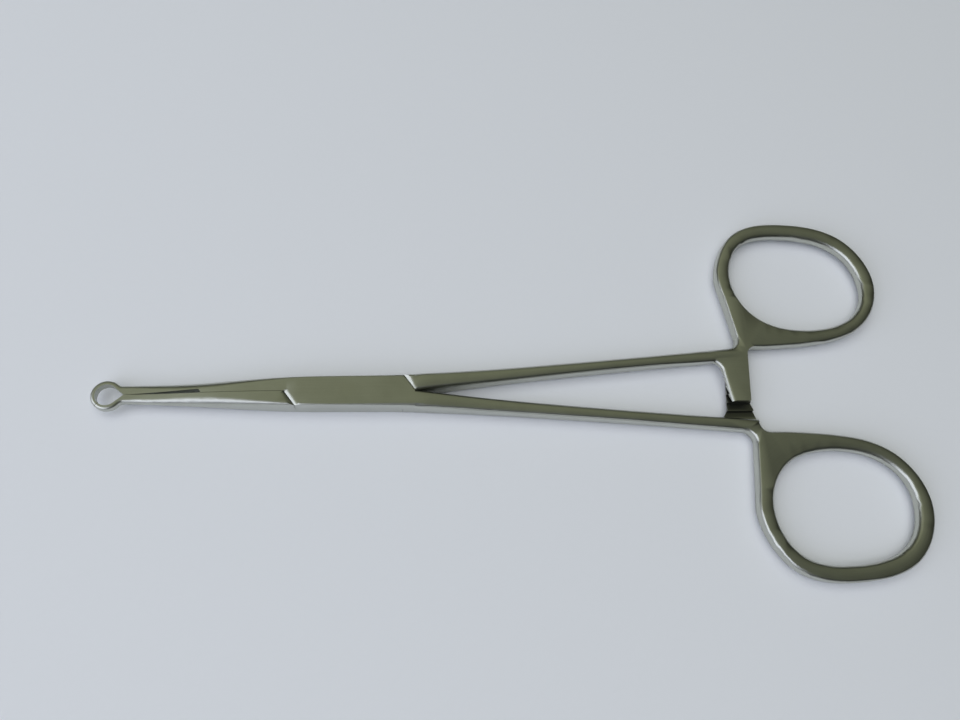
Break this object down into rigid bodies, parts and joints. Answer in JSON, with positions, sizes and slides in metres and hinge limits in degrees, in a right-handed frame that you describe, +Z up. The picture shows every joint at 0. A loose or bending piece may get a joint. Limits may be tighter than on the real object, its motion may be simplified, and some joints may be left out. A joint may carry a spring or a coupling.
{
  "type": "vas deferens forceps",
  "caption": "Ringed vas fixation forceps with crossed halves on a pivot screw, slender jaws closing to a small split tip ring, finger rings and a ratchet.",
  "frame": {"origin": "middle of the instrument's length and width, on the plane it lies on", "axes": "+X from the tip ring to the finger rings, +Z up from the surface it lies on"},
  "size_m": [0.1496, 0.0724, 0.0044],
  "materials": {
    "satin_steel": "satin ground stainless steel",
    "screw_steel": "turned stainless steel"
  },
  "bodies": {
    "ring_half": {"ring_jaw_half": "satin_steel", "pivot_screw": "screw_steel"},
    "plain_half": {"plain_jaw_half": "satin_steel"}
  },
  "joints": [
    {"name": "pivot_hinge", "type": "hinge", "parent": "ring_half", "child": "plain_half", "pos_m": [-0.03168, 0, 0.0022], "axis": [0, 0, 1], "range_deg": [0, 90]}
  ]
}
